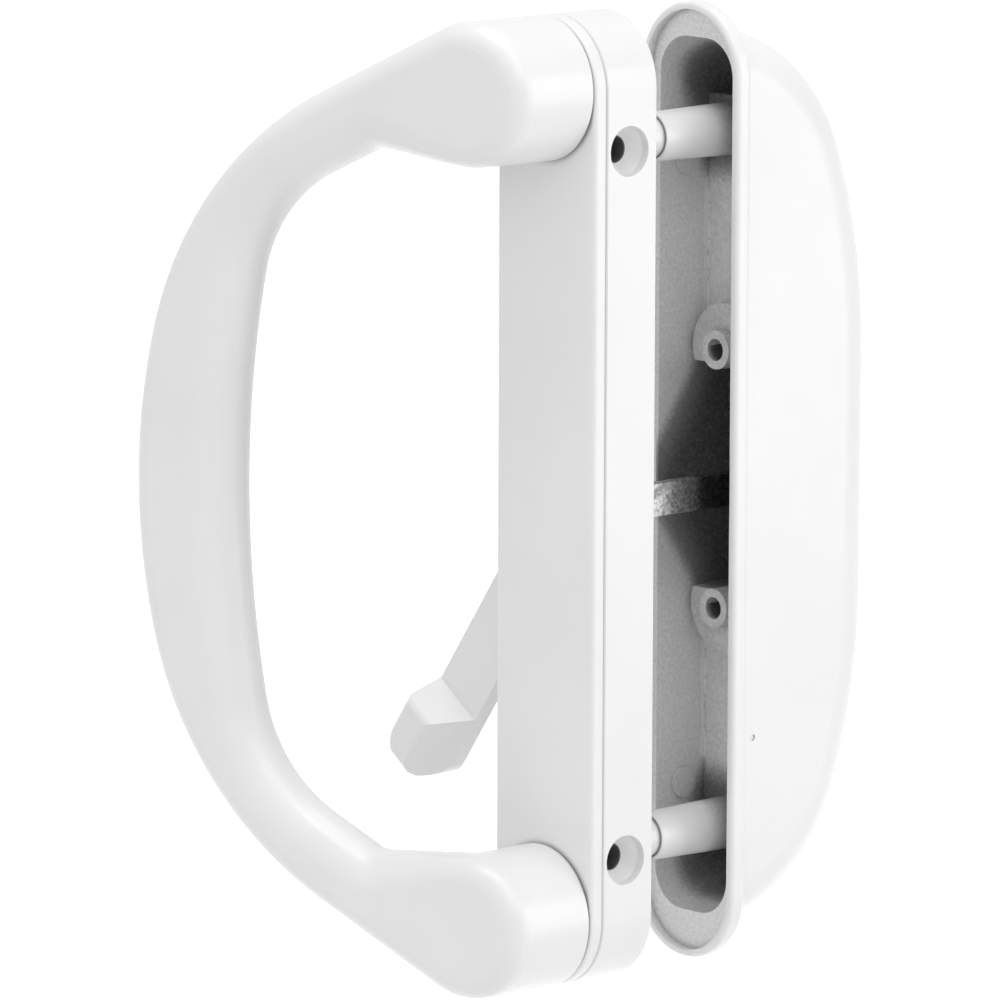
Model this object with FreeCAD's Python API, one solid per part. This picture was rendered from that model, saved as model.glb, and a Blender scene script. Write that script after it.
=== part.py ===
import FreeCAD, Part
import math
import os

# Sliding patio door handle set: an inner base with an offset D pull and a latch lever,
# and an outer hollow pull that plugs into it through the door. Millimetres.
# X runs across the handle, Y through the door (the room is at -Y), Z is up.
# The back face of the inner base, which lies on the door, is the plane Y = 0.

Vector = FreeCAD.Vector

# Base and face plate
base_width = 25.4
end_spacing = 146.6
base_depth = 14.3
plate_thickness = 2.8
seam_bevel = 0.35
plate_edge_radius = 0.8

# Fixing studs and the countersunk holes that cross them
stud_spacing = 125.4
stud_diameter = 7.3
stud_fit = 0.05
stud_seat_depth = 9.0
stud_end_room = 0.4
side_hole_depth_in_base = 6.2
side_hole_bore = 4.6
side_head_diameter = 8.9
side_head_recess = 1.6
side_head_angle = 82.0
stud_cross_hole = 3.8

# Screws that hold the D pull, driven from the back of the base
pull_screw_diameter = 4.8
pull_screw_head = 9.0
pull_screw_head_height = 3.0
pull_screw_recess = 4.0
pull_screw_bite = 9.0
screw_clearance = 0.25
head_clearance = 0.4

# D pull
boss_radius = 12.7
boss_foot_bevel = 0.5
pull_lean = 15.0
pull_middle_height = 29.7
grip_thickness = 11.0
grip_outer_reach = 68.4
grip_width = 19.0
outer_middle_radius = 118.0
outer_middle_half = 27.5
arm_slope = 27.2
inner_middle_radius = 205.0
inner_middle_half = 38.0
arm_inner_corner = 21.1
arm_neck_slope = 5.0
arm_corner_radius = 4.0
front_edge_radius = 4.2
hand_edge_radius = 7.5
back_edge_radius = 3.2

# Latch lever and its hub
hub_height = -2.0
lever_rest_angle = 35.5
lever_travel = 109.0
lever_width = 11.3
lever_thickness = 3.1
lever_length = 61.7
lever_side_gap = 0.4
lever_end_gap = 0.8
knob_start = 45.3
knob_slant = 3.8
knob_rise = 6.6
knob_side_draft = 4.0
knob_end_draft = 1.2
lever_end_radius = 5.3
knob_edge_radius = 1.6
hub_radius = 9.0
hub_gap = 0.6
front_journal_radius = 4.0
front_journal_length = 1.8
rear_journal_radius = 6.0
running_fit = 0.05
hub_back_recess = 0.6
washer_thickness = 1.7
washer_inner_gap = 0.4

# Tail bar through the door and its pin
tail_height = 5.8
tail_thickness = 2.4
tail_reach = 44.0
tail_seat = 6.0
tail_fit = 0.06
tail_end_bevel = 0.8
tail_pin_diameter = 2.0
tail_pin_depth = 4.0
tail_pin_end_gap = 0.3
pin_fit = 0.02

# Hollows of the base
base_wall = 2.8
back_pocket_depth = 5.0
back_pocket_reach = 50.0
hub_block_half = 14.0
pocket_corner = 3.0

# Outer pull
rim_height = 19.5
flange_thickness = 3.5
flange_edge_radius = 1.2
rim_edge_radius = 0.9
rim_width = 1.4
rim_step_depth = 1.8
pull_reach = 56.5
blade_width = 23.0
blade_crown_radius = 9.0
blade_straight_half = 21.8
blade_wide_radius = 106.0
blade_turn = 20.5
blade_shoulder_radius = 34.0
blade_lift = 0.9
blade_wall = 2.2
floor_depth = 13.5
middle_hollow_half = 20.5
end_hollow_start = 68.0
post_mouth_height = 10.4
post_mouth_radius = 4.35
post_root_radius = 4.85
post_mouth_bevel = 0.3
post_bore_depth = 13.0
tube_spacing = 46.6
tube_outer = 7.0
tube_bore = 4.0
tube_height = 6.7
tube_draft = 0.6
tube_bore_below = 3.0
tube_pad_radius = 8.1
tube_pad_height = 4.6
tube_pad_draft = 0.5
pad_diameter = 5.5
pad_height = 0.6
pad_spacing = 113.0
pad_depth = 8.3
mark_diameter = 1.2
mark_depth = 0.25
mark_height = -45.0
mark_from_flange = 2.4

end_radius = base_width / 2.0
end_height = end_spacing / 2.0
stud_height = stud_spacing / 2.0
plate_front = -base_depth
plate_back = -(base_depth - plate_thickness)
past_all = 2.0 * (end_height + grip_outer_reach + pull_reach)


def save(shape, name):
    solid = shape.removeSplitter()
    if solid.ShapeType == "Compound" and len(solid.Solids) == 1:
        solid = solid.Solids[0]
    solid.exportStep("parts/" + name + ".step")


def stadium(radius, half_height, y_start, y_end, centre_x=0.0):
    low = Vector(centre_x, y_start, -half_height)
    high = Vector(centre_x, y_start, half_height)
    right = Vector(radius, 0, 0)
    edges = [
        Part.LineSegment(low + right, high + right).toShape(),
        Part.Arc(high + right, high + Vector(0, 0, radius), high - right).toShape(),
        Part.LineSegment(high - right, low - right).toShape(),
        Part.Arc(low - right, low - Vector(0, 0, radius), low + right).toShape(),
    ]
    return Part.Face(Part.Wire(edges)).extrude(Vector(0, y_end - y_start, 0))


def rod_y(radius, y_start, y_end, x, z):
    return Part.makeCylinder(radius, y_end - y_start, Vector(x, y_start, z), Vector(0, 1, 0))


def box(x0, x1, y0, y1, z0, z1):
    return Part.makeBox(x1 - x0, y1 - y0, z1 - z0, Vector(x0, y0, z0))


def edges_along(shape, direction):
    chosen = []
    for edge in shape.Edges:
        if len(edge.Vertexes) != 2:
            continue
        span = edge.Vertexes[1].Point - edge.Vertexes[0].Point
        if span.Length > 1e-6 and abs(span.normalize().dot(direction)) > 0.999:
            chosen.append(edge)
    return chosen


def edges_in_plane(shape, axis, value):
    chosen = []
    for edge in shape.Edges:
        limits = edge.BoundBox
        low = (limits.XMin, limits.YMin, limits.ZMin)[axis]
        high = (limits.XMax, limits.YMax, limits.ZMax)[axis]
        if abs(low - value) < 1e-4 and abs(high - value) < 1e-4:
            chosen.append(edge)
    return chosen


def rounded_box(x0, x1, y0, y1, z0, z1, radius):
    block = box(x0, x1, y0, y1, z0, z1)
    return block.makeFillet(radius, edges_along(block, Vector(0, 1, 0)))


def mirrored(shape):
    return shape.mirror(Vector(0, 0, 0), Vector(0, 0, 1))


def countersunk_hole(z):
    bore_radius = side_hole_bore / 2.0
    head_radius = side_head_diameter / 2.0
    y = -side_hole_depth_in_base
    cone = (head_radius - bore_radius) / math.tan(math.radians(side_head_angle / 2.0))
    wall = end_radius
    recess = Part.makeCylinder(
        head_radius, side_head_recess + 1.0, Vector(wall - side_head_recess, y, z), Vector(1, 0, 0)
    )
    taper = Part.makeCone(
        head_radius, bore_radius, cone, Vector(wall - side_head_recess, y, z), Vector(-1, 0, 0)
    )
    bore = Part.makeCylinder(bore_radius, wall, Vector(0, y, z), Vector(1, 0, 0))
    return recess.fuse([taper, bore])


def lever_pocket():
    half = math.tan(math.radians(lever_travel / 2.0)) * end_radius
    half += lever_width / 2.0 / math.cos(math.radians(lever_travel / 2.0)) + lever_end_gap
    floor = plate_back + lever_side_gap * 2.0 + lever_thickness
    block = box(
        -end_radius - pocket_corner,
        hub_radius + hub_gap,
        plate_back - 1.0,
        floor,
        hub_height - half,
        hub_height + half,
    )
    block = block.makeFillet(pocket_corner, edges_along(block, Vector(0, 1, 0)))
    washer_room = rod_y(hub_radius + hub_gap, plate_back, floor + washer_thickness, 0, hub_height)
    return block.fuse(washer_room), floor


def base_housing():
    body = stadium(end_radius, end_height, plate_back, 0.0)
    body = body.makeChamfer(seam_bevel, edges_in_plane(body, 1, plate_back))
    pocket, floor = lever_pocket()
    cuts = [pocket]
    cuts.append(rod_y(rear_journal_radius + running_fit, floor, 1.0, 0, hub_height))
    for side in (-1, 1):
        z = side * stud_height
        cuts.append(countersunk_hole(z))
        cuts.append(rod_y(stud_diameter / 2.0 + stud_fit, -stud_seat_depth - stud_end_room, 1.0, 0, z))
        z = side * end_height
        cuts.append(rod_y(pull_screw_diameter / 2.0 + screw_clearance, plate_back - 1.0, 1.0, 0, z))
        cuts.append(rod_y(pull_screw_head / 2.0 + head_clearance, -pull_screw_recess, 1.0, 0, z))
        near = hub_height + side * hub_block_half
        far = side * back_pocket_reach
        half = end_radius - base_wall
        cuts.append(
            rounded_box(-half, half, -back_pocket_depth, 1.0, min(near, far), max(near, far), pocket_corner)
        )
    return body.cut(cuts)


def face_plate():
    body = stadium(end_radius, end_height, plate_front, plate_back)
    body = body.makeFillet(plate_edge_radius, edges_in_plane(body, 1, plate_front))
    body = body.makeChamfer(seam_bevel, edges_in_plane(body, 1, plate_back))
    lever_front = plate_back + lever_side_gap
    cuts = [
        rod_y(
            front_journal_radius + running_fit,
            lever_front - front_journal_length - 0.2,
            plate_back + 1.0,
            0,
            hub_height,
        )
    ]
    for side in (-1, 1):
        cuts.append(
            rod_y(
                pull_screw_diameter / 2.0 + screw_clearance,
                plate_front - 1.0,
                plate_back + 1.0,
                0,
                side * end_height,
            )
        )
    return body.cut(cuts)


def on_arc(centre, radius, angle):
    turn = math.radians(angle)
    return centre + Vector(-math.cos(turn), 0, math.sin(turn)) * radius


def arm_join(start, start_angle, slope_angle, line_point):
    # Radius of the arc that leaves start at start_angle and ends tangent to the arm's line.
    a = math.radians(start_angle)
    b = math.radians(90.0 - slope_angle)
    normal = Vector(-math.sin(math.radians(slope_angle)), 0, math.cos(math.radians(slope_angle)))
    gap = (line_point - start).dot(normal)
    step = Vector(math.cos(a) - math.cos(b), 0, math.sin(b) - math.sin(a))
    return gap / step.dot(normal)


def half_outline(reach, middle_radius, middle_half, line_point):
    middle_angle = math.degrees(math.asin(middle_half / middle_radius))
    middle_centre = Vector(-reach + middle_radius, 0, 0)
    top = on_arc(middle_centre, middle_radius, middle_angle)
    radius = arm_join(top, middle_angle, arm_slope, line_point)
    centre = top - on_arc(Vector(0, 0, 0), radius, middle_angle)
    end_angle = 90.0 - arm_slope
    end = on_arc(centre, radius, end_angle)
    middle = on_arc(centre, radius, (middle_angle + end_angle) / 2.0)
    low = Vector(top.x, 0, -top.z)
    return low, Vector(-reach, 0, 0), top, middle, end


def turned_down(point):
    return Vector(point.x, point.y, -point.z)


def grip_prism():
    slope = math.radians(arm_slope)
    boss = Vector(0, 0, end_height)
    away = Vector(-math.sin(slope), 0, math.cos(slope))
    outer_touch = boss + away * boss_radius
    neck = math.radians(arm_neck_slope)
    neck_line = Vector(-math.cos(neck), 0, math.sin(neck))
    below = Vector(-math.sin(neck), 0, -math.cos(neck))
    inner_touch = boss + below * boss_radius
    low, side, top, shoulder, arm = half_outline(
        grip_outer_reach, outer_middle_radius, outer_middle_half, outer_touch
    )
    outer = [
        Part.Arc(low, side, top).toShape(),
        Part.Arc(top, shoulder, arm).toShape(),
        Part.LineSegment(arm, outer_touch).toShape(),
        Part.Arc(outer_touch, boss + Vector(boss_radius, 0, 0), inner_touch).toShape(),
    ]
    inner_corner = inner_touch + neck_line * ((arm_inner_corner + inner_touch.x) / math.cos(neck))
    i_low, i_side, i_top, i_shoulder, i_arm = half_outline(
        grip_outer_reach - grip_width, inner_middle_radius, inner_middle_half, inner_corner
    )
    setback = arm_corner_radius * math.tan((slope + neck) / 2.0)
    corner_end = inner_corner - neck_line * setback
    corner_start = inner_corner + (i_arm - inner_corner).normalize() * setback
    corner_centre = corner_end + below * arm_corner_radius
    corner_mid = corner_centre + (away - below).normalize() * arm_corner_radius
    inner = [
        Part.LineSegment(inner_touch, corner_end).toShape(),
        Part.Arc(corner_end, corner_mid, corner_start).toShape(),
        Part.LineSegment(corner_start, i_arm).toShape(),
        Part.Arc(i_arm, i_shoulder, i_top).toShape(),
    ]
    wire_edges = [outer[0]]
    for edge in outer[1:] + inner:
        wire_edges.append(edge)
        wire_edges.append(mirrored(edge))
    wire_edges.append(Part.Arc(i_low, i_side, i_top).toShape())
    wire = Part.Wire(Part.sortEdges(wire_edges)[0])
    return Part.Face(wire).extrude(Vector(0, -past_all, 0))


def leaning_slab(offset_low, offset_high):
    lean = math.tan(math.radians(pull_lean))
    points = []
    for side, offset in ((1, offset_low), (-1, offset_low), (-1, offset_high), (1, offset_high)):
        x = side * past_all
        points.append(Vector(x, -pull_middle_height + x * lean + offset, -past_all))
    points.append(points[0])
    return Part.Face(Part.makePolygon(points)).extrude(Vector(0, 0, past_all * 2.0))


def loop_edges(shape, offset):
    lean = math.tan(math.radians(pull_lean))
    chosen = []
    for edge in shape.Edges:
        if edge.BoundBox.ZMax < 1e-3:
            continue
        start, end = edge.FirstParameter, edge.LastParameter
        on_plane = True
        for value in (start, (start + end) / 2.0, end):
            q = edge.valueAt(value)
            on_plane = on_plane and abs(q.y + pull_middle_height - q.x * lean - offset) < 1e-3
        if on_plane:
            chosen.append(edge)
    return chosen


def faces_the_hand(body, edge):
    # True for a front edge whose open side is the hole of the D.
    middle = edge.valueAt((edge.FirstParameter + edge.LastParameter) / 2.0)
    step = Vector(-grip_outer_reach / 2.0, middle.y, 0) - middle
    beside = middle + step.normalize() * front_edge_radius / 4.0
    return not body.isInside(beside + Vector(0, front_edge_radius / 4.0, 0), 1e-6, True)


def rounded_front(body, front):
    # The front edge is rounded wider on the side of the hand than on the outside.
    document = FreeCAD.newDocument("grip")
    blank = document.addObject("Part::Feature", "blank")
    blank.Shape = body
    rounding = document.addObject("Part::Fillet", "rounded")
    rounding.Base = blank
    rows = []
    for number, edge in enumerate(body.Edges, 1):
        if any(edge.isSame(other) for other in front):
            radius = hand_edge_radius if faces_the_hand(body, edge) else front_edge_radius
            rows.append((number, radius, radius))
    rounding.Edges = rows
    document.recompute()
    return rounding.Shape.Solids[0]


def half_grip():
    half = grip_thickness / 2.0
    body = grip_prism().common(leaning_slab(-half, half))
    body = body.common(box(-past_all, past_all, -past_all, past_all, 0.0, past_all)).Solids[0]
    body = rounded_front(body, loop_edges(body, -half))
    return body.makeFillet(back_edge_radius, loop_edges(body, half))


def pull_handle():
    boss = rod_y(boss_radius, -pull_middle_height - grip_thickness, plate_front, 0, end_height)
    boss = boss.cut(leaning_slab(-grip_thickness * 2.0, 0.0))
    boss = boss.makeChamfer(boss_foot_bevel, edges_in_plane(boss, 1, plate_front))
    half = half_grip().fuse(boss).removeSplitter()
    bore_end = plate_front - pull_screw_bite - 1.5
    half = half.cut(rod_y(pull_screw_diameter / 2.0, bore_end, plate_front + 1.0, 0, end_height))
    return half.fuse(mirrored(half))


def pull_screws():
    pieces = []
    for side in (-1, 1):
        z = side * end_height
        under_head = -pull_screw_recess
        shank = rod_y(pull_screw_diameter / 2.0 - 0.02, plate_front - pull_screw_bite, under_head, 0, z)
        shank = shank.makeChamfer(0.6, edges_in_plane(shank, 1, plate_front - pull_screw_bite))
        head = rod_y(pull_screw_head / 2.0, under_head, under_head + pull_screw_head_height, 0, z)
        head = head.makeFillet(0.8, edges_in_plane(head, 1, under_head + pull_screw_head_height))
        top = under_head + pull_screw_head_height
        cross = box(-2.6, 2.6, top - 1.6, top + 1.0, z - 0.55, z + 0.55)
        other = box(-0.55, 0.55, top - 1.6, top + 1.0, z - 2.6, z + 2.6)
        pieces.append(shank.fuse(head).cut([cross, other]).removeSplitter())
    return Part.makeCompound(pieces)


def lever_blank():
    half = lever_width / 2.0
    front = plate_back + lever_side_gap
    back = front + lever_thickness
    arm = box(-half, half, front, back, -lever_length, 0.0)
    tip = front - knob_rise
    points = [
        Vector(-half, back, -knob_start),
        Vector(-half, front, -knob_start),
        Vector(-half, tip, -knob_start - knob_slant),
        Vector(-half, tip, -lever_length),
        Vector(-half, back, -lever_length),
    ]
    points.append(points[0])
    knob = Part.Face(Part.makePolygon(points)).extrude(Vector(lever_width, 0, 0))
    draft = [
        Vector(half, front, -lever_length - 1.0),
        Vector(half + 1.0, front, -lever_length - 1.0),
        Vector(half + 1.0, tip, -lever_length - 1.0),
        Vector(half - knob_side_draft, tip, -lever_length - 1.0),
    ]
    draft.append(draft[0])
    knob = knob.cut(Part.Face(Part.makePolygon(draft)).extrude(Vector(0, 0, lever_length)))
    draft = [
        Vector(-half - 1.0, front, -lever_length),
        Vector(-half - 1.0, front, -lever_length - 1.0),
        Vector(-half - 1.0, tip, -lever_length - 1.0),
        Vector(-half - 1.0, tip, -lever_length + knob_end_draft),
    ]
    draft.append(draft[0])
    knob = knob.cut(Part.Face(Part.makePolygon(draft)).extrude(Vector(lever_width + 2.0, 0, 0)))
    outline = box(-half, half, tip - 1.0, back + 1.0, -lever_length, 1.0)
    low_edges = [edge for edge in edges_along(outline, Vector(0, 1, 0)) if edge.BoundBox.ZMax < 0]
    outline = outline.makeFillet(lever_end_radius, low_edges)
    arm = arm.common(outline)
    knob = knob.common(outline)
    knob = knob.makeFillet(knob_edge_radius, edges_in_plane(knob, 1, tip))
    return arm.fuse(knob), front, back


def latch_lever():
    body, front, back = lever_blank()
    body = body.removeSplitter()
    hub = rod_y(hub_radius, front, back, 0, 0)
    journal = rod_y(rear_journal_radius, back, -hub_back_recess, 0, 0)
    spigot = rod_y(front_journal_radius, front - front_journal_length, front, 0, 0)
    body = body.fuse([hub, journal, spigot])
    slot = box(
        -tail_thickness / 2.0 - tail_fit,
        tail_thickness / 2.0 + tail_fit,
        -tail_seat - 0.2,
        1.0,
        -tail_height / 2.0 - tail_fit,
        tail_height / 2.0 + tail_fit,
    )
    slot.rotate(Vector(0, 0, 0), Vector(0, 1, 0), -lever_rest_angle)
    pin_hole = Part.makeCylinder(
        tail_pin_diameter / 2.0 + pin_fit, 40.0, Vector(-20, -tail_pin_depth, 0), Vector(1, 0, 0)
    )
    pin_hole.rotate(Vector(0, 0, 0), Vector(0, 1, 0), -lever_rest_angle)
    body = body.cut([slot, pin_hole])
    body.rotate(Vector(0, 0, 0), Vector(0, 1, 0), lever_rest_angle)
    body.translate(Vector(0, 0, hub_height))
    return body


def tail_bar():
    body = box(
        -tail_thickness / 2.0,
        tail_thickness / 2.0,
        -tail_seat,
        tail_reach,
        hub_height - tail_height / 2.0,
        hub_height + tail_height / 2.0,
    )
    ends = []
    for edge in edges_in_plane(body, 1, tail_reach):
        ends.append(edge)
    body = body.makeChamfer(tail_end_bevel, ends)
    hole = Part.makeCylinder(
        tail_pin_diameter / 2.0 + pin_fit, 20.0, Vector(-10, -tail_pin_depth, hub_height), Vector(1, 0, 0)
    )
    return body.cut(hole)


def tail_pin():
    half = rear_journal_radius - tail_pin_end_gap
    return Part.makeCylinder(
        tail_pin_diameter / 2.0, half * 2.0, Vector(-half, -tail_pin_depth, hub_height), Vector(1, 0, 0)
    )


def friction_washer():
    floor = plate_back + lever_side_gap * 2.0 + lever_thickness + washer_thickness
    back = plate_back + lever_side_gap + lever_thickness
    ring = rod_y(hub_radius, back + running_fit, floor, 0, hub_height)
    hole = rod_y(rear_journal_radius + washer_inner_gap, back, floor + 1.0, 0, hub_height)
    return ring.cut(hole)


def mounting_studs():
    pieces = []
    for side in (-1, 1):
        z = side * stud_height
        end = post_mouth_height + post_bore_depth - 1.0
        stud = rod_y(stud_diameter / 2.0, -stud_seat_depth, end, 0, z)
        rims = edges_in_plane(stud, 1, -stud_seat_depth) + edges_in_plane(stud, 1, end)
        stud = stud.makeChamfer(0.6, rims)
        hole = Part.makeCylinder(
            stud_cross_hole / 2.0, 20.0, Vector(-10, -side_hole_depth_in_base, z), Vector(1, 0, 0)
        )
        pieces.append(stud.cut(hole))
    return Part.makeCompound(pieces)


def blade_half(inset, base_y, side):
    # Crest of one half of the blade: a flat middle, a wide arc and a tighter shoulder.
    wide = blade_wide_radius - inset
    tight = blade_shoulder_radius - inset
    turn = math.radians(blade_turn)
    wide_y = pull_reach - blade_wide_radius
    tight_y = wide_y + math.cos(turn) * (wide - tight)
    tight_z = blade_straight_half + math.sin(turn) * (wide - tight)
    last = math.acos((base_y - tight_y) / tight)

    def on_wide(angle):
        return wide_y + math.cos(angle) * wide, blade_straight_half + math.sin(angle) * wide

    def on_tight(angle):
        return tight_y + math.cos(angle) * tight, tight_z + math.sin(angle) * tight

    points = []
    for y, z in (on_wide(0.0), on_wide(turn / 2.0), on_wide(turn), on_tight((turn + last) / 2.0), on_tight(last)):
        points.append(Vector(0, y, side * z + blade_lift))
    return points


def blade_profile(inset, base_y):
    up = blade_half(inset, base_y, 1)
    down = blade_half(inset, base_y, -1)
    edges = [Part.LineSegment(down[0], up[0]).toShape(), Part.LineSegment(up[4], down[4]).toShape()]
    for points in (up, down):
        edges.append(Part.Arc(points[0], points[1], points[2]).toShape())
        edges.append(Part.Arc(points[2], points[3], points[4]).toShape())
    return Part.Face(Part.Wire(Part.sortEdges(edges)[0]))


def crowned_blade(inset, base_y):
    half = blade_width / 2.0 - inset
    face = blade_profile(inset, base_y)
    face.translate(Vector(-half, 0, 0))
    body = face.extrude(Vector(half * 2.0, 0, 0))
    edges = []
    for edge in body.Edges:
        limits = edge.BoundBox
        flat = abs(limits.XMax - limits.XMin) < 1e-6
        if flat and limits.YMax > base_y + 1.0:
            edges.append(edge)
    return body.makeFillet(blade_crown_radius - inset, edges)


def outer_hollow():
    top = rim_height + rim_step_depth
    inside = crowned_blade(blade_wall, rim_height - 1.0)
    half = blade_width / 2.0 - blade_wall
    mouth = stadium(half, end_height + end_radius - rim_width - half, rim_height - 2.0, 80.0)
    inside = inside.common(mouth)
    floor = rim_height + floor_depth
    for side in (-1, 1):
        low = min(side * middle_hollow_half, side * end_hollow_start)
        high = max(side * middle_hollow_half, side * end_hollow_start)
        inside = inside.cut(box(-40, 40, floor, 90, low, high))
    step = stadium(end_radius - rim_width, end_height, rim_height - 1.0, top)
    return inside.fuse(step)


def outer_post(z):
    floor = rim_height + floor_depth + 1.0
    return Part.makeCone(
        post_mouth_radius, post_root_radius, floor - post_mouth_height, Vector(0, post_mouth_height, z), Vector(0, 1, 0)
    )


def post_bore(z):
    radius = stud_diameter / 2.0 + stud_fit
    bore = rod_y(radius, post_mouth_height - 1.0, post_mouth_height + post_bore_depth, 0, z)
    bevel = Part.makeCone(
        radius + post_mouth_bevel,
        radius,
        post_mouth_bevel,
        Vector(0, post_mouth_height, z),
        Vector(0, 1, 0),
    )
    return bore.fuse(bevel)


def tube_with_pad(side):
    # A tapered tube that runs down to the crest, and a round pad on the floor on its outer side.
    floor = rim_height + floor_depth
    z = side * tube_spacing / 2.0
    mouth = floor - tube_height
    length = pull_reach - mouth
    tube = Part.makeCone(
        tube_outer / 2.0, tube_outer / 2.0 + tube_draft, length, Vector(0, mouth, z), Vector(0, 1, 0)
    )
    tube = tube.common(crowned_blade(blade_wall / 2.0, mouth - 1.0))
    pad = Part.makeCone(
        tube_pad_radius,
        tube_pad_radius + tube_pad_draft,
        tube_pad_height + 1.0,
        Vector(0, floor - tube_pad_height, z),
        Vector(0, 1, 0),
    )
    pad = pad.cut(box(-40, 40, mouth, floor + 2.0, -middle_hollow_half, middle_hollow_half))
    return tube.fuse(pad)


def outer_pull():
    flange_back = rim_height + flange_thickness
    flange = stadium(end_radius, end_height, rim_height, flange_back)
    rims = edges_in_plane(flange, 1, flange_back)
    flange = flange.makeFillet(flange_edge_radius, rims)
    flange = flange.makeFillet(rim_edge_radius, edges_in_plane(flange, 1, rim_height))
    body = flange.fuse(crowned_blade(0.0, rim_height + 0.5))
    body = body.cut(outer_hollow())
    adds = []
    bores = []
    floor = rim_height + floor_depth
    for side in (-1, 1):
        z = side * stud_height
        adds.append(outer_post(z))
        bores.append(post_bore(z))
        z = side * tube_spacing / 2.0
        adds.append(tube_with_pad(side))
        bores.append(rod_y(tube_bore / 2.0, floor - tube_height - 1.0, floor + tube_bore_below, 0, z))
        inner_wall = -(blade_width / 2.0 - blade_wall)
        adds.append(
            Part.makeCylinder(
                pad_diameter / 2.0,
                pad_height + 0.5,
                Vector(inner_wall - 0.5, rim_height + pad_depth, side * pad_spacing / 2.0),
                Vector(1, 0, 0),
            )
        )
    body = body.fuse(adds).cut(bores)
    mark = Part.makeCylinder(
        mark_diameter / 2.0,
        mark_depth + 1.0,
        Vector(blade_width / 2.0 - mark_depth, flange_back + mark_from_flange, mark_height),
        Vector(1, 0, 0),
    )
    return body.cut(mark)


def main():
    os.makedirs("parts", exist_ok=True)
    save(base_housing(), "base_housing")
    save(face_plate(), "face_plate")
    save(pull_handle(), "pull_handle")
    save(pull_screws(), "pull_screws")
    save(latch_lever(), "latch_lever")
    save(tail_bar(), "tail_bar")
    save(tail_pin(), "tail_pin")
    save(friction_washer(), "friction_washer")
    save(mounting_studs(), "mounting_studs")
    save(outer_pull(), "outer_pull")


main()
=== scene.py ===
import bpy
import math
from mathutils import Matrix, Vector


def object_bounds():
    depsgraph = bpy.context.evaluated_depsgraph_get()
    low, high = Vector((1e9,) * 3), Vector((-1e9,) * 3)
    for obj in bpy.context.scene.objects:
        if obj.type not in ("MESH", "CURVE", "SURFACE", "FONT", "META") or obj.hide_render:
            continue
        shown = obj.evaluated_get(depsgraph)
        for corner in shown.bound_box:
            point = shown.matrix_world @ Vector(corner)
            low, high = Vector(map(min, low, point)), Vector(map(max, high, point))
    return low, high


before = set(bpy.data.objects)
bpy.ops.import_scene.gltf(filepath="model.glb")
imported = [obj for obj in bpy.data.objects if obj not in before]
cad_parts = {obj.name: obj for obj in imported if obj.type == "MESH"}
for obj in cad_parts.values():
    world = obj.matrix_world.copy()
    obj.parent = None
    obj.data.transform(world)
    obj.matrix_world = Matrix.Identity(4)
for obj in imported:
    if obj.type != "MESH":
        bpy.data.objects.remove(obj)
cad_low, cad_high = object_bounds()

MM = 0.001

# Camera of the photograph
CAMERA_AZIMUTH = 48.365
CAMERA_ELEVATION = 9.61
CAMERA_ROLL = 0.205
CAMERA_DISTANCE = 1.49603
CAMERA_AIM_RIGHT = -18.454 * MM
CAMERA_AIM_UP = -0.835 * MM
CAMERA_LENS = 306.0
CAMERA_SEES_FROM = 0.05
CAMERA_SEES_TO = 60.0
SENSOR_WIDTH = 36.0

# Floor
FLOOR_DROP = 0.16
FLOOR_SIZE = 30.0
FLOOR_COLOUR = 0.9
FLOOR_GLOW = 0.75

# Soft boxes
LAMP_DISTANCE = 1.3
LAMP_SIZE = 0.8
OUTER_SIDE_TOWARDS = (0.8, 0.6, 0.1)
OUTER_SIDE_POWER = 5.0
HIGH_SIDE_TOWARDS = (0.8, -0.15, 0.8)
HIGH_SIDE_POWER = 2.7
TOP_TOWARDS = (0.05, -0.05, 1.0)
TOP_POWER = 6.6

# Light of the room: even from all round, and more from the front and from above
WORLD_FILL = 0.2
FRONT_FILL_TOWARDS = (0.1, -0.99, 0.0)
FRONT_FILL = 0.95
TOP_FILL_TOWARDS = (0.0, 0.0, 1.0)
TOP_FILL = 0.25
FILL_FOCUS = 1.5

# Range that most of a noise texture's values lie in
NOISE_LOW = 0.3
NOISE_HIGH = 0.7

# Paint; scales are cells in a metre
PAINT_COLOUR = 0.86
PAINT_DARKER = 0.012
PAINT_LIGHTER = 0.008
PAINT_ROUGHNESS = 0.33
PAINT_SMOOTHER = 0.02
PAINT_ROUGHER = 0.03
PAINT_ROUGHNESS_SCALE = 300.0
PAINT_COAT = 0.25
PAINT_COAT_ROUGHNESS = 0.12
PAINT_IOR = 1.5
WAVE_SCALE = 45.0
WAVE_HEIGHT = 0.12 * MM
PEEL_SCALE = 520.0
PEEL_HEIGHT = 0.005 * MM
DUST_SCALE = 90.0
DUST_SIZE = 0.022
DUST_SHARE = 0.02
DUST_DARKNESS = 0.4

# Painted shade in corners: how far it reaches, and what tone is left in it
CREVICE_REACH = 1.5 * MM
CREVICE_CLOSED = 0.25
CREVICE_OPEN = 0.95
CREVICE_LEAST = 0.5
INSIDE_CREVICE_LEAST = 0.65

# Posts of the outer pull, and the screw holes in the base at the same height, with the painted shade on both
POST_HEIGHT = 62.7 * MM
POST_REACH = 5.3 * MM
POST_SHADE_START = 21.5 * MM
POST_SHADE_END = 29.5 * MM
POST_SHADE_SHARE = 0.65
SCREW_HOLE_DEPTH = -6.2 * MM
SCREW_HOLE_REACH = 2.42 * MM
SCREW_HOLE_END = -4.0 * MM
SCREW_HOLE_SHADE = 0.85

# Tubular bosses of the outer pull, with painted shade down their bores and on their pads
TUBE_HEIGHT = 23.3 * MM
TUBE_HOLE = 2.1 * MM
TUBE_MOUTH = 26.3 * MM
TUBE_SHADE_DEPTH = 2.0 * MM
TUBE_SHADE_SHARE = 0.9
PAD_REACH = 8.6 * MM
PAD_SHADE = 0.25

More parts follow.
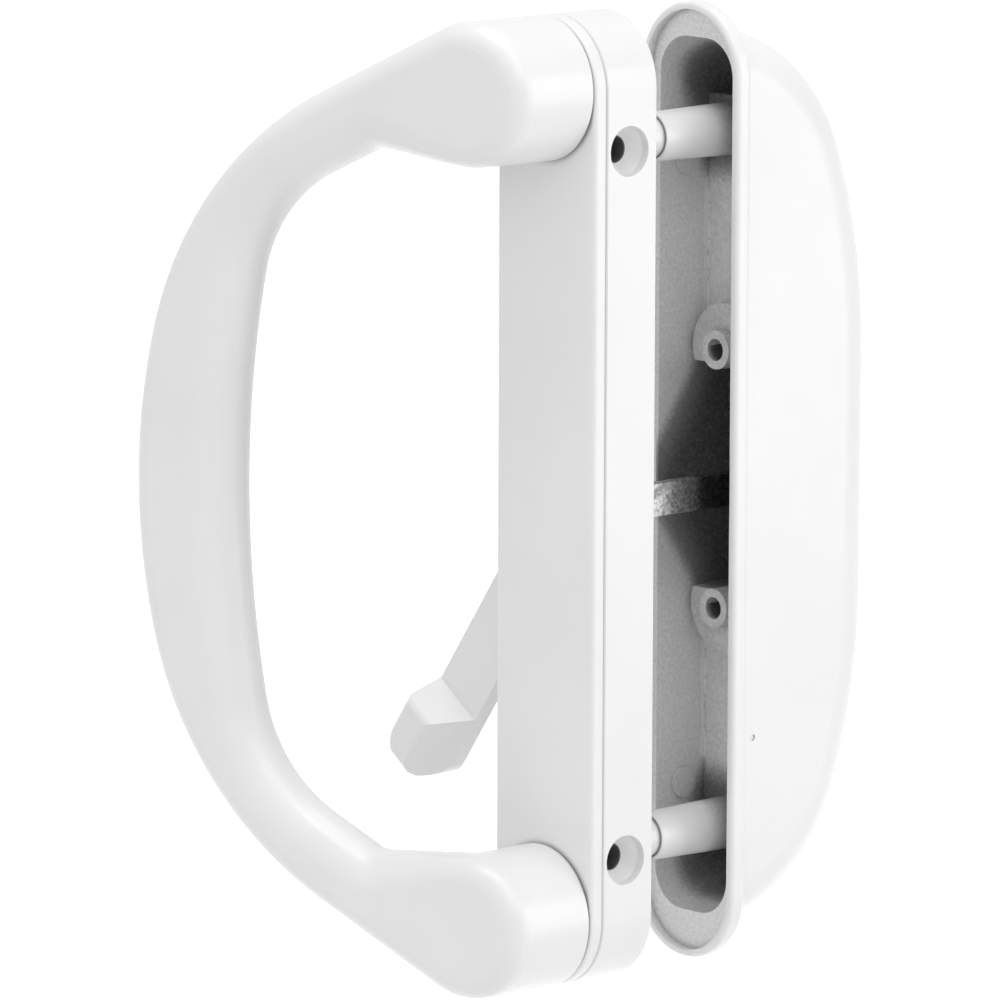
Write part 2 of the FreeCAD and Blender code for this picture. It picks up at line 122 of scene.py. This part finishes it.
# Which faces of the outer pull are inside it
FACING_BACK = 0.3
INSIDE_HALF = 9.8 * MM
MOUTH_HALF = 11.2 * MM
MOUTH_DEPTH = 20.2 * MM
END_HEIGHT = 70.0 * MM
OUTWARD_ENDS = 5.0 * MM
OUTWARD_SIDES = 8.7 * MM

# Bare metal where the sprayed paint thins out, together with painted shade deep in the hollow: the middle
# pocket, whose edge slopes, and round patches (depth, height, radius) at both ends and at the roots of the
# posts
POCKET_MIDDLE = -0.3 * MM
POCKET_START = 22.0 * MM
POCKET_HALF = 9.0 * MM
POCKET_SLOPE = 0.66
POCKET_EDGE_START = -1.0 * MM
POCKET_EDGE_END = 3.0 * MM
POCKET_EDGE_SHARE = 0.45
POCKET_DEEP_START = 1.0 * MM
POCKET_DEEP_END = 14.0 * MM
END_PATCH = (38.5 * MM, 72.5 * MM, 14.0 * MM)
POST_PATCH = (38.5 * MM, 60.5 * MM, 10.5 * MM)
PATCH_EDGE = 4.5 * MM
PATCH_DEEP_START = 2.0 * MM
PATCH_DEEP_END = 2.0 * MM
PATCH_EDGE_SHARE = 0.5
RAGGED_SCALE = 1700.0
RAGGED_REACH = 3.0 * MM
METAL_SCALE = 2200.0
METAL_LOW = 0.09
METAL_HIGH = 0.24

# Sandy coat inside the outer pull, and the bead of paint in its corner
SAND_SCALE = 1500.0
SAND_LOSS = 0.18
BEAD_X = -9.3 * MM
BEAD_DEPTH = 32.6 * MM
BEAD_LOW = 23.0 * MM
BEAD_LOW_FADE = 4.0 * MM
BEAD_HIGH = 55.0 * MM
BEAD_HIGH_FADE = 3.0 * MM
BEAD_SCALE = 420.0
BEAD_THIN = 0.35 * MM
BEAD_THICK = 0.95 * MM
BEAD_SOFT_OUT = 0.15 * MM
BEAD_SOFT_IN = 0.2 * MM
BEAD_COLOUR = 0.88

# Zinc plating, and a painted dark reflection on the part of the bar inside the outer pull
BAR_GRAIN_SCALE = 1300.0
SCREW_GRAIN_SCALE = 2500.0
BAR_DARK_START = 20.0 * MM
BAR_DARK_END = 23.0 * MM
BAR_DARK_TONE = 0.3
ZINC_DARK = 0.28
ZINC_LIGHT = 0.85
ZINC_MOST = 0.95
ZINC_SPOTS = 0.15
ZINC_SPOT_SIZE = 0.42
ZINC_SPOT_SHARE = 0.3
ZINC_GRAIN_HEIGHT = 0.09 * MM
ZINC_WAVE_SCALE = 90.0
ZINC_WAVE_HEIGHT = 0.08 * MM
ZINC_ROUGH = 0.5
ZINC_SMOOTH = 0.32

# Nylon
NYLON_DARK = 0.74
NYLON_LIGHT = 0.8
NYLON_SCATTER = 0.2
NYLON_SMOOTH = 0.45
NYLON_ROUGH = 0.6
NYLON_GRAIN_HEIGHT = 0.01 * MM


def camera_axes():
    azimuth = math.radians(CAMERA_AZIMUTH)
    elevation = math.radians(CAMERA_ELEVATION)
    roll = math.radians(CAMERA_ROLL)
    right = Vector((math.cos(azimuth), math.sin(azimuth), 0.0))
    forward = Vector((
        -math.sin(azimuth) * math.cos(elevation),
        math.cos(azimuth) * math.cos(elevation),
        -math.sin(elevation),
    ))
    up = right.cross(forward)
    rolled_right = right * math.cos(roll) + up * math.sin(roll)
    rolled_up = up * math.cos(roll) - right * math.sin(roll)
    return rolled_right, rolled_up, forward


def make_camera():
    right, up, forward = camera_axes()
    data = bpy.data.cameras.new("camera")
    data.lens = CAMERA_LENS
    data.sensor_width = SENSOR_WIDTH
    data.clip_start = CAMERA_SEES_FROM
    data.clip_end = CAMERA_SEES_TO
    camera = bpy.data.objects.new("camera", data)
    bpy.context.scene.collection.objects.link(camera)
    place = right * CAMERA_AIM_RIGHT + up * CAMERA_AIM_UP - forward * CAMERA_DISTANCE
    turn = Matrix((right, up, -forward)).transposed().to_4x4()
    camera.matrix_world = Matrix.Translation(place) @ turn
    bpy.context.scene.camera = camera


def make_light(name, direction, power):
    data = bpy.data.lights.new(name, "AREA")
    data.shape = "RECTANGLE"
    data.size = LAMP_SIZE
    data.size_y = LAMP_SIZE
    data.energy = power
    light = bpy.data.objects.new(name, data)
    bpy.context.scene.collection.objects.link(light)
    towards = Vector(direction).normalized()
    light.location = towards * LAMP_DISTANCE
    light.rotation_mode = "QUATERNION"
    light.rotation_quaternion = towards.to_track_quat("Z", "Y")


def make_lights():
    make_light("outer_side_light", OUTER_SIDE_TOWARDS, OUTER_SIDE_POWER)
    make_light("high_side_light", HIGH_SIDE_TOWARDS, HIGH_SIDE_POWER)
    make_light("top_light", TOP_TOWARDS, TOP_POWER)


def new_material(name):
    material = bpy.data.materials.new(name)
    material.use_nodes = True
    tree = material.node_tree
    tree.nodes.clear()
    output = tree.nodes.new("ShaderNodeOutputMaterial")
    shader = tree.nodes.new("ShaderNodeBsdfPrincipled")
    tree.links.new(shader.outputs["BSDF"], output.inputs["Surface"])
    return material, tree, shader


def math_node(tree, operation, first, second=None):
    node = tree.nodes.new("ShaderNodeMath")
    node.operation = operation
    for socket, value in zip(node.inputs, (first, second)):
        if value is None:
            continue
        if isinstance(value, (int, float)):
            socket.default_value = value
        else:
            tree.links.new(value, socket)
    return node.outputs[0]


def chain(tree, operation, values):
    result = values[0]
    for value in values[1:]:
        result = math_node(tree, operation, result, value)
    return result


def times(tree, *values):
    return chain(tree, "MULTIPLY", values)


def plus(tree, *values):
    return chain(tree, "ADD", values)


def largest(tree, *values):
    return chain(tree, "MAXIMUM", values)


def minus(tree, first, second):
    return math_node(tree, "SUBTRACT", first, second)


def below(tree, value, limit):
    return math_node(tree, "LESS_THAN", value, limit)


def over(tree, value, limit):
    return math_node(tree, "GREATER_THAN", value, limit)


def unsigned(tree, value):
    return math_node(tree, "ABSOLUTE", value)


def noise(tree, position, scale, detail=2.0, roughness=0.5):
    node = tree.nodes.new("ShaderNodeTexNoise")
    node.inputs["Scale"].default_value = scale
    node.inputs["Detail"].default_value = detail
    node.inputs["Roughness"].default_value = roughness
    tree.links.new(position, node.inputs["Vector"])
    return node.outputs["Fac"]


def remap(tree, value, low, high, to_low, to_high):
    node = tree.nodes.new("ShaderNodeMapRange")
    node.interpolation_type = "SMOOTHSTEP"
    for name, number in (("From Min", low), ("From Max", high), ("To Min", to_low), ("To Max", to_high)):
        node.inputs[name].default_value = number
    tree.links.new(value, node.inputs["Value"])
    return node.outputs["Result"]


def noise_between(tree, value, to_low, to_high):
    return remap(tree, value, NOISE_LOW, NOISE_HIGH, to_low, to_high)


def bump(tree, height, distance, under=None):
    node = tree.nodes.new("ShaderNodeBump")
    node.inputs["Strength"].default_value = 1.0
    node.inputs["Distance"].default_value = distance
    tree.links.new(height, node.inputs["Height"])
    if under is not None:
        tree.links.new(under, node.inputs["Normal"])
    return node.outputs["Normal"]


def grey(tree, value):
    node = tree.nodes.new("ShaderNodeCombineColor")
    for socket in node.inputs[:3]:
        tree.links.new(value, socket)
    return node.outputs["Color"]


def split(tree, vector):
    node = tree.nodes.new("ShaderNodeSeparateXYZ")
    tree.links.new(vector, node.inputs[0])
    return node.outputs


def joined(tree, x, y, z):
    node = tree.nodes.new("ShaderNodeCombineXYZ")
    for socket, value in zip(node.inputs, (x, y, z)):
        if value is not None:
            tree.links.new(value, socket)
    return node.outputs[0]


def distance_to(tree, vector, point):
    node = tree.nodes.new("ShaderNodeVectorMath")
    node.operation = "DISTANCE"
    tree.links.new(vector, node.inputs[0])
    node.inputs[1].default_value = point
    return node.outputs["Value"]


def object_position(tree):
    return tree.nodes.new("ShaderNodeTexCoord").outputs["Object"]


def object_facing(tree):
    return split(tree, tree.nodes.new("ShaderNodeTexCoord").outputs["Normal"])


def specks(tree, position, scale, size, share):
    # Rare round specks: one in each cell of a share of the cells.
    cells = tree.nodes.new("ShaderNodeTexVoronoi")
    cells.inputs["Scale"].default_value = scale
    tree.links.new(position, cells.inputs["Vector"])
    random = tree.nodes.new("ShaderNodeSeparateColor")
    tree.links.new(cells.outputs["Color"], random.inputs["Color"])
    chosen = below(tree, random.outputs[0], share)
    near = remap(tree, cells.outputs["Distance"], size * 0.6, size, 1.0, 0.0)
    return times(tree, chosen, near)


def paint_colour(tree, position):
    wave = noise(tree, position, WAVE_SCALE)
    tone = noise_between(tree, wave, PAINT_COLOUR - PAINT_DARKER, PAINT_COLOUR + PAINT_LIGHTER)
    dust = specks(tree, position, DUST_SCALE, DUST_SIZE, DUST_SHARE)
    return times(tree, tone, minus(tree, 1.0, times(tree, dust, DUST_DARKNESS)))


def paint_relief(tree, position):
    waves = bump(tree, noise(tree, position, WAVE_SCALE, 1.0), WAVE_HEIGHT)
    return bump(tree, noise(tree, position, PEEL_SCALE, 1.0), PEEL_HEIGHT, waves)


def crevice_painted_shade(tree, value, least):
    # Painted shade: the tone is darkened where the AO node finds other surfaces close by, in corners and
    # seams.
    shade = tree.nodes.new("ShaderNodeAmbientOcclusion")
    shade.inputs["Distance"].default_value = CREVICE_REACH
    kept = remap(tree, shade.outputs["AO"], CREVICE_CLOSED, CREVICE_OPEN, least, 1.0)
    return times(tree, value, kept)


def finish_paint(tree, shader, position):
    uneven = noise(tree, position, PAINT_ROUGHNESS_SCALE)
    roughness = noise_between(tree, uneven, PAINT_ROUGHNESS - PAINT_SMOOTHER, PAINT_ROUGHNESS + PAINT_ROUGHER)
    tree.links.new(roughness, shader.inputs["Roughness"])
    tree.links.new(paint_relief(tree, position), shader.inputs["Normal"])
    shader.inputs["Coat Weight"].default_value = PAINT_COAT
    shader.inputs["Coat Roughness"].default_value = PAINT_COAT_ROUGHNESS
    shader.inputs["IOR"].default_value = PAINT_IOR


def screw_hole_painted_shade(tree, position, tone):
    # Painted shade: the bores of the side screws are drawn nearly black.
    x, y, z = split(tree, position)
    section = joined(tree, None, y, unsigned(tree, z))
    away = distance_to(tree, section, (0.0, SCREW_HOLE_DEPTH, POST_HEIGHT))
    within = times(tree, below(tree, away, SCREW_HOLE_REACH), over(tree, x, SCREW_HOLE_END))
    return times(tree, tone, minus(tree, 1.0, times(tree, within, SCREW_HOLE_SHADE)))


def white_paint():
    material, tree, shader = new_material("white_paint")
    position = object_position(tree)
    # Painted shade in corners and down the bores of the side screws.
    tone = crevice_painted_shade(tree, paint_colour(tree, position), CREVICE_LEAST)
    tone = screw_hole_painted_shade(tree, position, tone)
    tree.links.new(grey(tree, tone), shader.inputs["Base Color"])
    finish_paint(tree, shader, position)
    return material


def pocket_bare_and_shade(tree, y, height, ragged):
    # Bare metal with painted shade past the sloped edge, growing first quickly and then slowly with the
    # depth.
    slant = times(tree, minus(tree, height, POCKET_HALF), POCKET_SLOPE)
    depth = plus(tree, minus(tree, y, plus(tree, slant, POCKET_START)), ragged)
    edge = remap(tree, depth, POCKET_EDGE_START, POCKET_EDGE_END, 0.0, POCKET_EDGE_SHARE)
    deep = remap(tree, depth, POCKET_DEEP_START, POCKET_DEEP_END, 0.0, 1.0 - POCKET_EDGE_SHARE)
    return plus(tree, edge, deep)


def patch_bare_and_shade(tree, y, height, ragged, patch):
    # The same from the rim of a round patch to its middle.
    depth, middle, radius = patch
    away = distance_to(tree, joined(tree, None, y, height), (0.0, depth, middle))
    away = plus(tree, away, ragged)
    edge = remap(tree, away, radius, radius - PATCH_EDGE, 0.0, PATCH_EDGE_SHARE)
    deep = remap(tree, away, radius - PATCH_DEEP_START, PATCH_DEEP_END, 0.0, 1.0 - PATCH_EDGE_SHARE)
    return plus(tree, edge, deep)


def tube_bore_painted_shade(tree, x, y, height):
    # Painted shade down the bore of each tube, growing with depth past its mouth.
    away = distance_to(tree, joined(tree, x, None, height), (0.0, 0.0, TUBE_HEIGHT))
    deep = remap(tree, y, TUBE_MOUTH, TUBE_MOUTH + TUBE_SHADE_DEPTH, 0.0, TUBE_SHADE_SHARE)
    return times(tree, below(tree, away, TUBE_HOLE), deep)


def distance_to_post(tree, x, height):
    return distance_to(tree, joined(tree, x, None, height), (0.0, 0.0, POST_HEIGHT))


def post_painted_shade(tree, x, y, height, ragged):
    # Painted shade on the posts, growing with their depth in the hollow.
    near = below(tree, distance_to_post(tree, x, height), POST_REACH)
    depth = plus(tree, y, ragged)
    return times(tree, near, remap(tree, depth, POST_SHADE_START, POST_SHADE_END, 0.0, POST_SHADE_SHARE))


def inside_share(tree, x, z, half):
    # One on the faces inside the outer pull, nought on those that look outwards.
    facing_x, facing_y, facing_z = object_facing(tree)
    narrow = below(tree, unsigned(tree, x), half)
    inner = times(tree, narrow, below(tree, facing_y, FACING_BACK))
    far = over(tree, unsigned(tree, z), END_HEIGHT)
    endwards = over(tree, times(tree, z, facing_z), OUTWARD_ENDS)
    not_end = minus(tree, 1.0, times(tree, far, endwards))
    not_side = below(tree, times(tree, x, facing_x), OUTWARD_SIDES)
    return times(tree, inner, not_end, not_side)


def bare_and_painted_shade(tree, position):
    # Share of bare metal and painted shade on the inside of the outer pull, from nought to one.
    x, y, z = split(tree, position)
    height = unsigned(tree, minus(tree, z, POCKET_MIDDLE))
    grain = minus(tree, noise(tree, position, RAGGED_SCALE, 3.0, 0.7), 0.5)
    ragged = times(tree, grain, RAGGED_REACH)
    share = largest(
        tree,
        pocket_bare_and_shade(tree, y, height, ragged),
        patch_bare_and_shade(tree, y, height, ragged, END_PATCH),
        patch_bare_and_shade(tree, y, height, ragged, POST_PATCH),
        tube_bore_painted_shade(tree, x, y, height),
        post_painted_shade(tree, x, y, height, ragged),
    )
    return times(tree, share, inside_share(tree, x, z, INSIDE_HALF))


def dull_and_shaded_inside(tree, position):
    # The thin sandy coat inside the outer pull is duller, and the pads of the tubes are darker still with
    # painted shade;
    # the posts are sprayed fully.
    x, y, z = split(tree, position)
    height = unsigned(tree, z)
    off_post = over(tree, distance_to_post(tree, x, height), POST_REACH)
    within = times(tree, inside_share(tree, x, z, MOUTH_HALF), over(tree, y, MOUTH_DEPTH), off_post)
    sand = noise_between(tree, noise(tree, position, SAND_SCALE, 3.0, 0.7), 0.0, SAND_LOSS)
    from_tube = distance_to(tree, joined(tree, x, None, height), (0.0, 0.0, TUBE_HEIGHT))
    lost = plus(tree, sand, times(tree, below(tree, from_tube, PAD_REACH), PAD_SHADE))
    return minus(tree, 1.0, times(tree, lost, within))


def corner_bead(tree, position):
    # A thin uneven bead of paint where the wall meets the floor.
    x, y, z = split(tree, position)
    away = distance_to(tree, joined(tree, x, y, None), (BEAD_X, BEAD_DEPTH, 0.0))
    half = noise_between(tree, noise(tree, position, BEAD_SCALE, 3.0, 0.7), BEAD_THIN, BEAD_THICK)
    line = remap(tree, minus(tree, away, half), BEAD_SOFT_OUT, -BEAD_SOFT_IN, 0.0, 1.0)
    height = unsigned(tree, z)
    past_low = remap(tree, height, BEAD_LOW, BEAD_LOW + BEAD_LOW_FADE, 0.0, 1.0)
    under_high = remap(tree, height, BEAD_HIGH, BEAD_HIGH - BEAD_HIGH_FADE, 0.0, 1.0)
    return times(tree, line, past_low, under_high)


def pull_paint():
    material, tree, shader = new_material("outer_pull_paint")
    position = object_position(tree)
    # Painted shade in corners, and on the pads of the tubes.
    painted = crevice_painted_shade(tree, paint_colour(tree, position), INSIDE_CREVICE_LEAST)
    painted = times(tree, painted, dull_and_shaded_inside(tree, position))
    painted = largest(tree, painted, times(tree, corner_bead(tree, position), BEAD_COLOUR))
    # Bare metal blended in, which also carries painted shade deep in the hollow.
    bare_and_shade = bare_and_painted_shade(tree, position)
    grain = noise(tree, position, METAL_SCALE, 3.0, 0.7)
    metal = remap(tree, grain, 0.35, 0.75, METAL_LOW, METAL_HIGH)
    cover = math_node(tree, "POWER", minus(tree, 1.0, bare_and_shade), 2.0)
    tone = plus(tree, times(tree, painted, cover), times(tree, metal, bare_and_shade))
    tree.links.new(grey(tree, tone), shader.inputs["Base Color"])
    finish_paint(tree, shader, position)
    return material


def zinc_plate(name, grain_scale, dark_reflection_end=False):
    material, tree, shader = new_material(name)
    position = object_position(tree)
    grain = noise(tree, position, grain_scale, 4.0, 0.7)
    spots = specks(tree, position, grain_scale * 0.8, ZINC_SPOT_SIZE, ZINC_SPOT_SHARE)
    tone = remap(tree, grain, 0.35, 0.65, ZINC_DARK, ZINC_LIGHT)
    tone = math_node(tree, "MINIMUM", plus(tree, tone, times(tree, spots, ZINC_SPOTS)), ZINC_MOST)
    if dark_reflection_end:
        # Painted dark reflection: the bar is darkened where it runs inside the outer pull.
        depth = split(tree, position)[1]
        tone = times(tree, tone, remap(tree, depth, BAR_DARK_START, BAR_DARK_END, 1.0, BAR_DARK_TONE))
    tree.links.new(grey(tree, tone), shader.inputs["Base Color"])
    shader.inputs["Metallic"].default_value = 1.0
    tree.links.new(noise_between(tree, grain, ZINC_ROUGH, ZINC_SMOOTH), shader.inputs["Roughness"])
    relief = bump(tree, grain, ZINC_GRAIN_HEIGHT)
    waves = bump(tree, noise(tree, position, ZINC_WAVE_SCALE, 1.0), ZINC_WAVE_HEIGHT, relief)
    tree.links.new(waves, shader.inputs["Normal"])
    return material


def nylon():
    material, tree, shader = new_material("nylon")
    position = object_position(tree)
    tone = noise_between(tree, noise(tree, position, 400.0), NYLON_DARK, NYLON_LIGHT)
    tree.links.new(grey(tree, tone), shader.inputs["Base Color"])
    shader.inputs["Subsurface Weight"].default_value = NYLON_SCATTER
    shader.inputs["Subsurface Radius"].default_value = (MM, MM, MM)
    roughness = noise_between(tree, noise(tree, position, 1200.0), NYLON_SMOOTH, NYLON_ROUGH)
    tree.links.new(roughness, shader.inputs["Roughness"])
    relief = bump(tree, noise(tree, position, 2400.0, 3.0), NYLON_GRAIN_HEIGHT)
    tree.links.new(relief, shader.inputs["Normal"])
    return material


def dress(node, material):
    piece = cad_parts[node]
    piece.data.materials.clear()
    piece.data.materials.append(material)


def dress_nodes():
    paint = white_paint()
    for node in ("base_housing", "face_plate", "pull_handle", "latch_lever", "mounting_studs"):
        dress(node, paint)
    dress("outer_pull", pull_paint())
    # The bar carries a painted dark reflection inside the outer pull.
    dress("tail_bar", zinc_plate("zinc_plated_bar", BAR_GRAIN_SCALE, True))
    screw_plate = zinc_plate("zinc_plated_screws", SCREW_GRAIN_SCALE)
    for node in ("pull_screws", "tail_pin"):
        dress(node, screw_plate)
    dress("friction_washer", nylon())


def floor_material():
    # Plain pale floor, which rays from the camera and mirror-like rays see as white.
    material = bpy.data.materials.new("floor_white")
    material.use_nodes = True
    tree = material.node_tree
    tree.nodes.clear()
    output = tree.nodes.new("ShaderNodeOutputMaterial")
    path = tree.nodes.new("ShaderNodeLightPath")
    plain = tree.nodes.new("ShaderNodeBsdfDiffuse")
    plain.inputs["Color"].default_value = (FLOOR_COLOUR, FLOOR_COLOUR, FLOOR_COLOUR, 1.0)
    glow = tree.nodes.new("ShaderNodeEmission")
    glow.inputs["Strength"].default_value = FLOOR_GLOW
    nothing = tree.nodes.new("ShaderNodeEmission")
    nothing.inputs["Strength"].default_value = 0.0
    seen = tree.nodes.new("ShaderNodeMixShader")
    tree.links.new(seen_directly(tree, path), seen.inputs["Fac"])
    tree.links.new(nothing.outputs[0], seen.inputs[1])
    tree.links.new(glow.outputs[0], seen.inputs[2])
    both = tree.nodes.new("ShaderNodeAddShader")
    tree.links.new(plain.outputs[0], both.inputs[0])
    tree.links.new(seen.outputs[0], both.inputs[1])
    tree.links.new(both.outputs[0], output.inputs["Surface"])
    return material


def seen_directly(tree, path):
    kinds = ("Is Camera Ray", "Is Glossy Ray", "Is Transmission Ray")
    return largest(tree, *[path.outputs[kind] for kind in kinds])


def make_floor():
    half = FLOOR_SIZE / 2.0
    height = cad_low.z - FLOOR_DROP
    corners = [(-half, -half, height), (half, -half, height), (half, half, height), (-half, half, height)]
    mesh = bpy.data.meshes.new("floor")
    mesh.from_pydata(corners, [], [(0, 1, 2, 3)])
    floor = bpy.data.objects.new("floor", mesh)
    bpy.context.scene.collection.objects.link(floor)
    mesh.materials.append(floor_material())


def fill_from(tree, direction, strength):
    # Soft light from one side of the room.
    towards = tree.nodes.new("ShaderNodeVectorMath")
    towards.operation = "DOT_PRODUCT"
    tree.links.new(tree.nodes.new("ShaderNodeTexCoord").outputs["Generated"], towards.inputs[0])
    towards.inputs[1].default_value = direction
    facing = largest(tree, towards.outputs["Value"], 0.0)
    return times(tree, math_node(tree, "POWER", facing, FILL_FOCUS), strength)


def make_world():
    world = bpy.data.worlds.new("studio")
    bpy.context.scene.world = world
    world.use_nodes = True
    tree = world.node_tree
    tree.nodes.clear()
    output = tree.nodes.new("ShaderNodeOutputWorld")
    path = tree.nodes.new("ShaderNodeLightPath")
    white = tree.nodes.new("ShaderNodeBackground")
    white.inputs["Color"].default_value = (1.0, 1.0, 1.0, 1.0)
    fill = tree.nodes.new("ShaderNodeBackground")
    fill.inputs["Color"].default_value = (1.0, 1.0, 1.0, 1.0)
    front = fill_from(tree, FRONT_FILL_TOWARDS, FRONT_FILL)
    above = fill_from(tree, TOP_FILL_TOWARDS, TOP_FILL)
    tree.links.new(plus(tree, front, above, WORLD_FILL), fill.inputs["Strength"])
    mix = tree.nodes.new("ShaderNodeMixShader")
    tree.links.new(seen_directly(tree, path), mix.inputs["Fac"])
    tree.links.new(fill.outputs[0], mix.inputs[1])
    tree.links.new(white.outputs[0], mix.inputs[2])
    tree.links.new(mix.outputs[0], output.inputs["Surface"])


def set_view():
    bpy.context.scene.view_settings.view_transform = "Standard"


make_camera()
make_lights()
make_world()
make_floor()
dress_nodes()
set_view()
